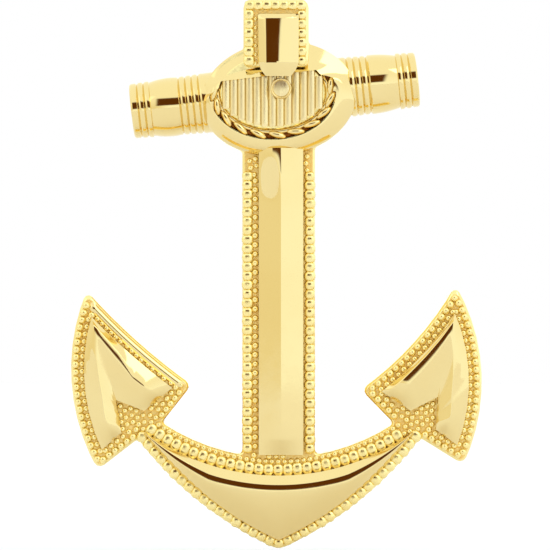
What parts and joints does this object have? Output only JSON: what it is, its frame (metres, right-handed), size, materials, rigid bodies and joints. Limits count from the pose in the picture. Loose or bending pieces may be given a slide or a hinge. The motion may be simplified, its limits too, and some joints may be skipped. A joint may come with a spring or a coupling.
{
  "type": "sew-on button",
  "caption": "Anchor-shaped sew-on button: hollow struck shell with applied polished pieces, closed back and a swivelling wire sewing eye.",
  "frame": {"origin": "centre of the sewing eye", "axes": "+Z towards the top of the anchor, the face looks towards -Y, +X to the right as the face is seen"},
  "size_m": [0.0269, 0.0108, 0.0359],
  "materials": {
    "polished_gold": "mirror-polished gold plate",
    "struck_gold": "struck and gold plated",
    "satin_gold": "satin gold plate",
    "gilt_wire": "drawn wire, gold plated",
    "raw_brass": "plain brass"
  },
  "bodies": {
    "button": {"anchor_shell": "struck_gold", "back_plate": "satin_gold", "shank_bar": "polished_gold", "crown_crescent": "polished_gold", "fluke_palm_left": "polished_gold", "fluke_palm_right": "polished_gold", "stock_arm_left": "polished_gold", "stock_arm_right": "polished_gold", "stock_tie_rod": "raw_brass", "ring_boss": "polished_gold", "ribbed_disc": "satin_gold", "rope_trim": "struck_gold", "centre_stud": "polished_gold", "head_frame": "struck_gold", "head_bar": "polished_gold", "loop_collet": "gilt_wire"},
    "sewing_loop": {"sewing_loop": "gilt_wire", "loop_washer": "raw_brass"}
  },
  "joints": [
    {"name": "loop_swivel", "type": "hinge", "parent": "button", "child": "sewing_loop", "pos_m": [0, -0.003, 0], "axis": [0, 1, 0], "continuous": true}
  ]
}
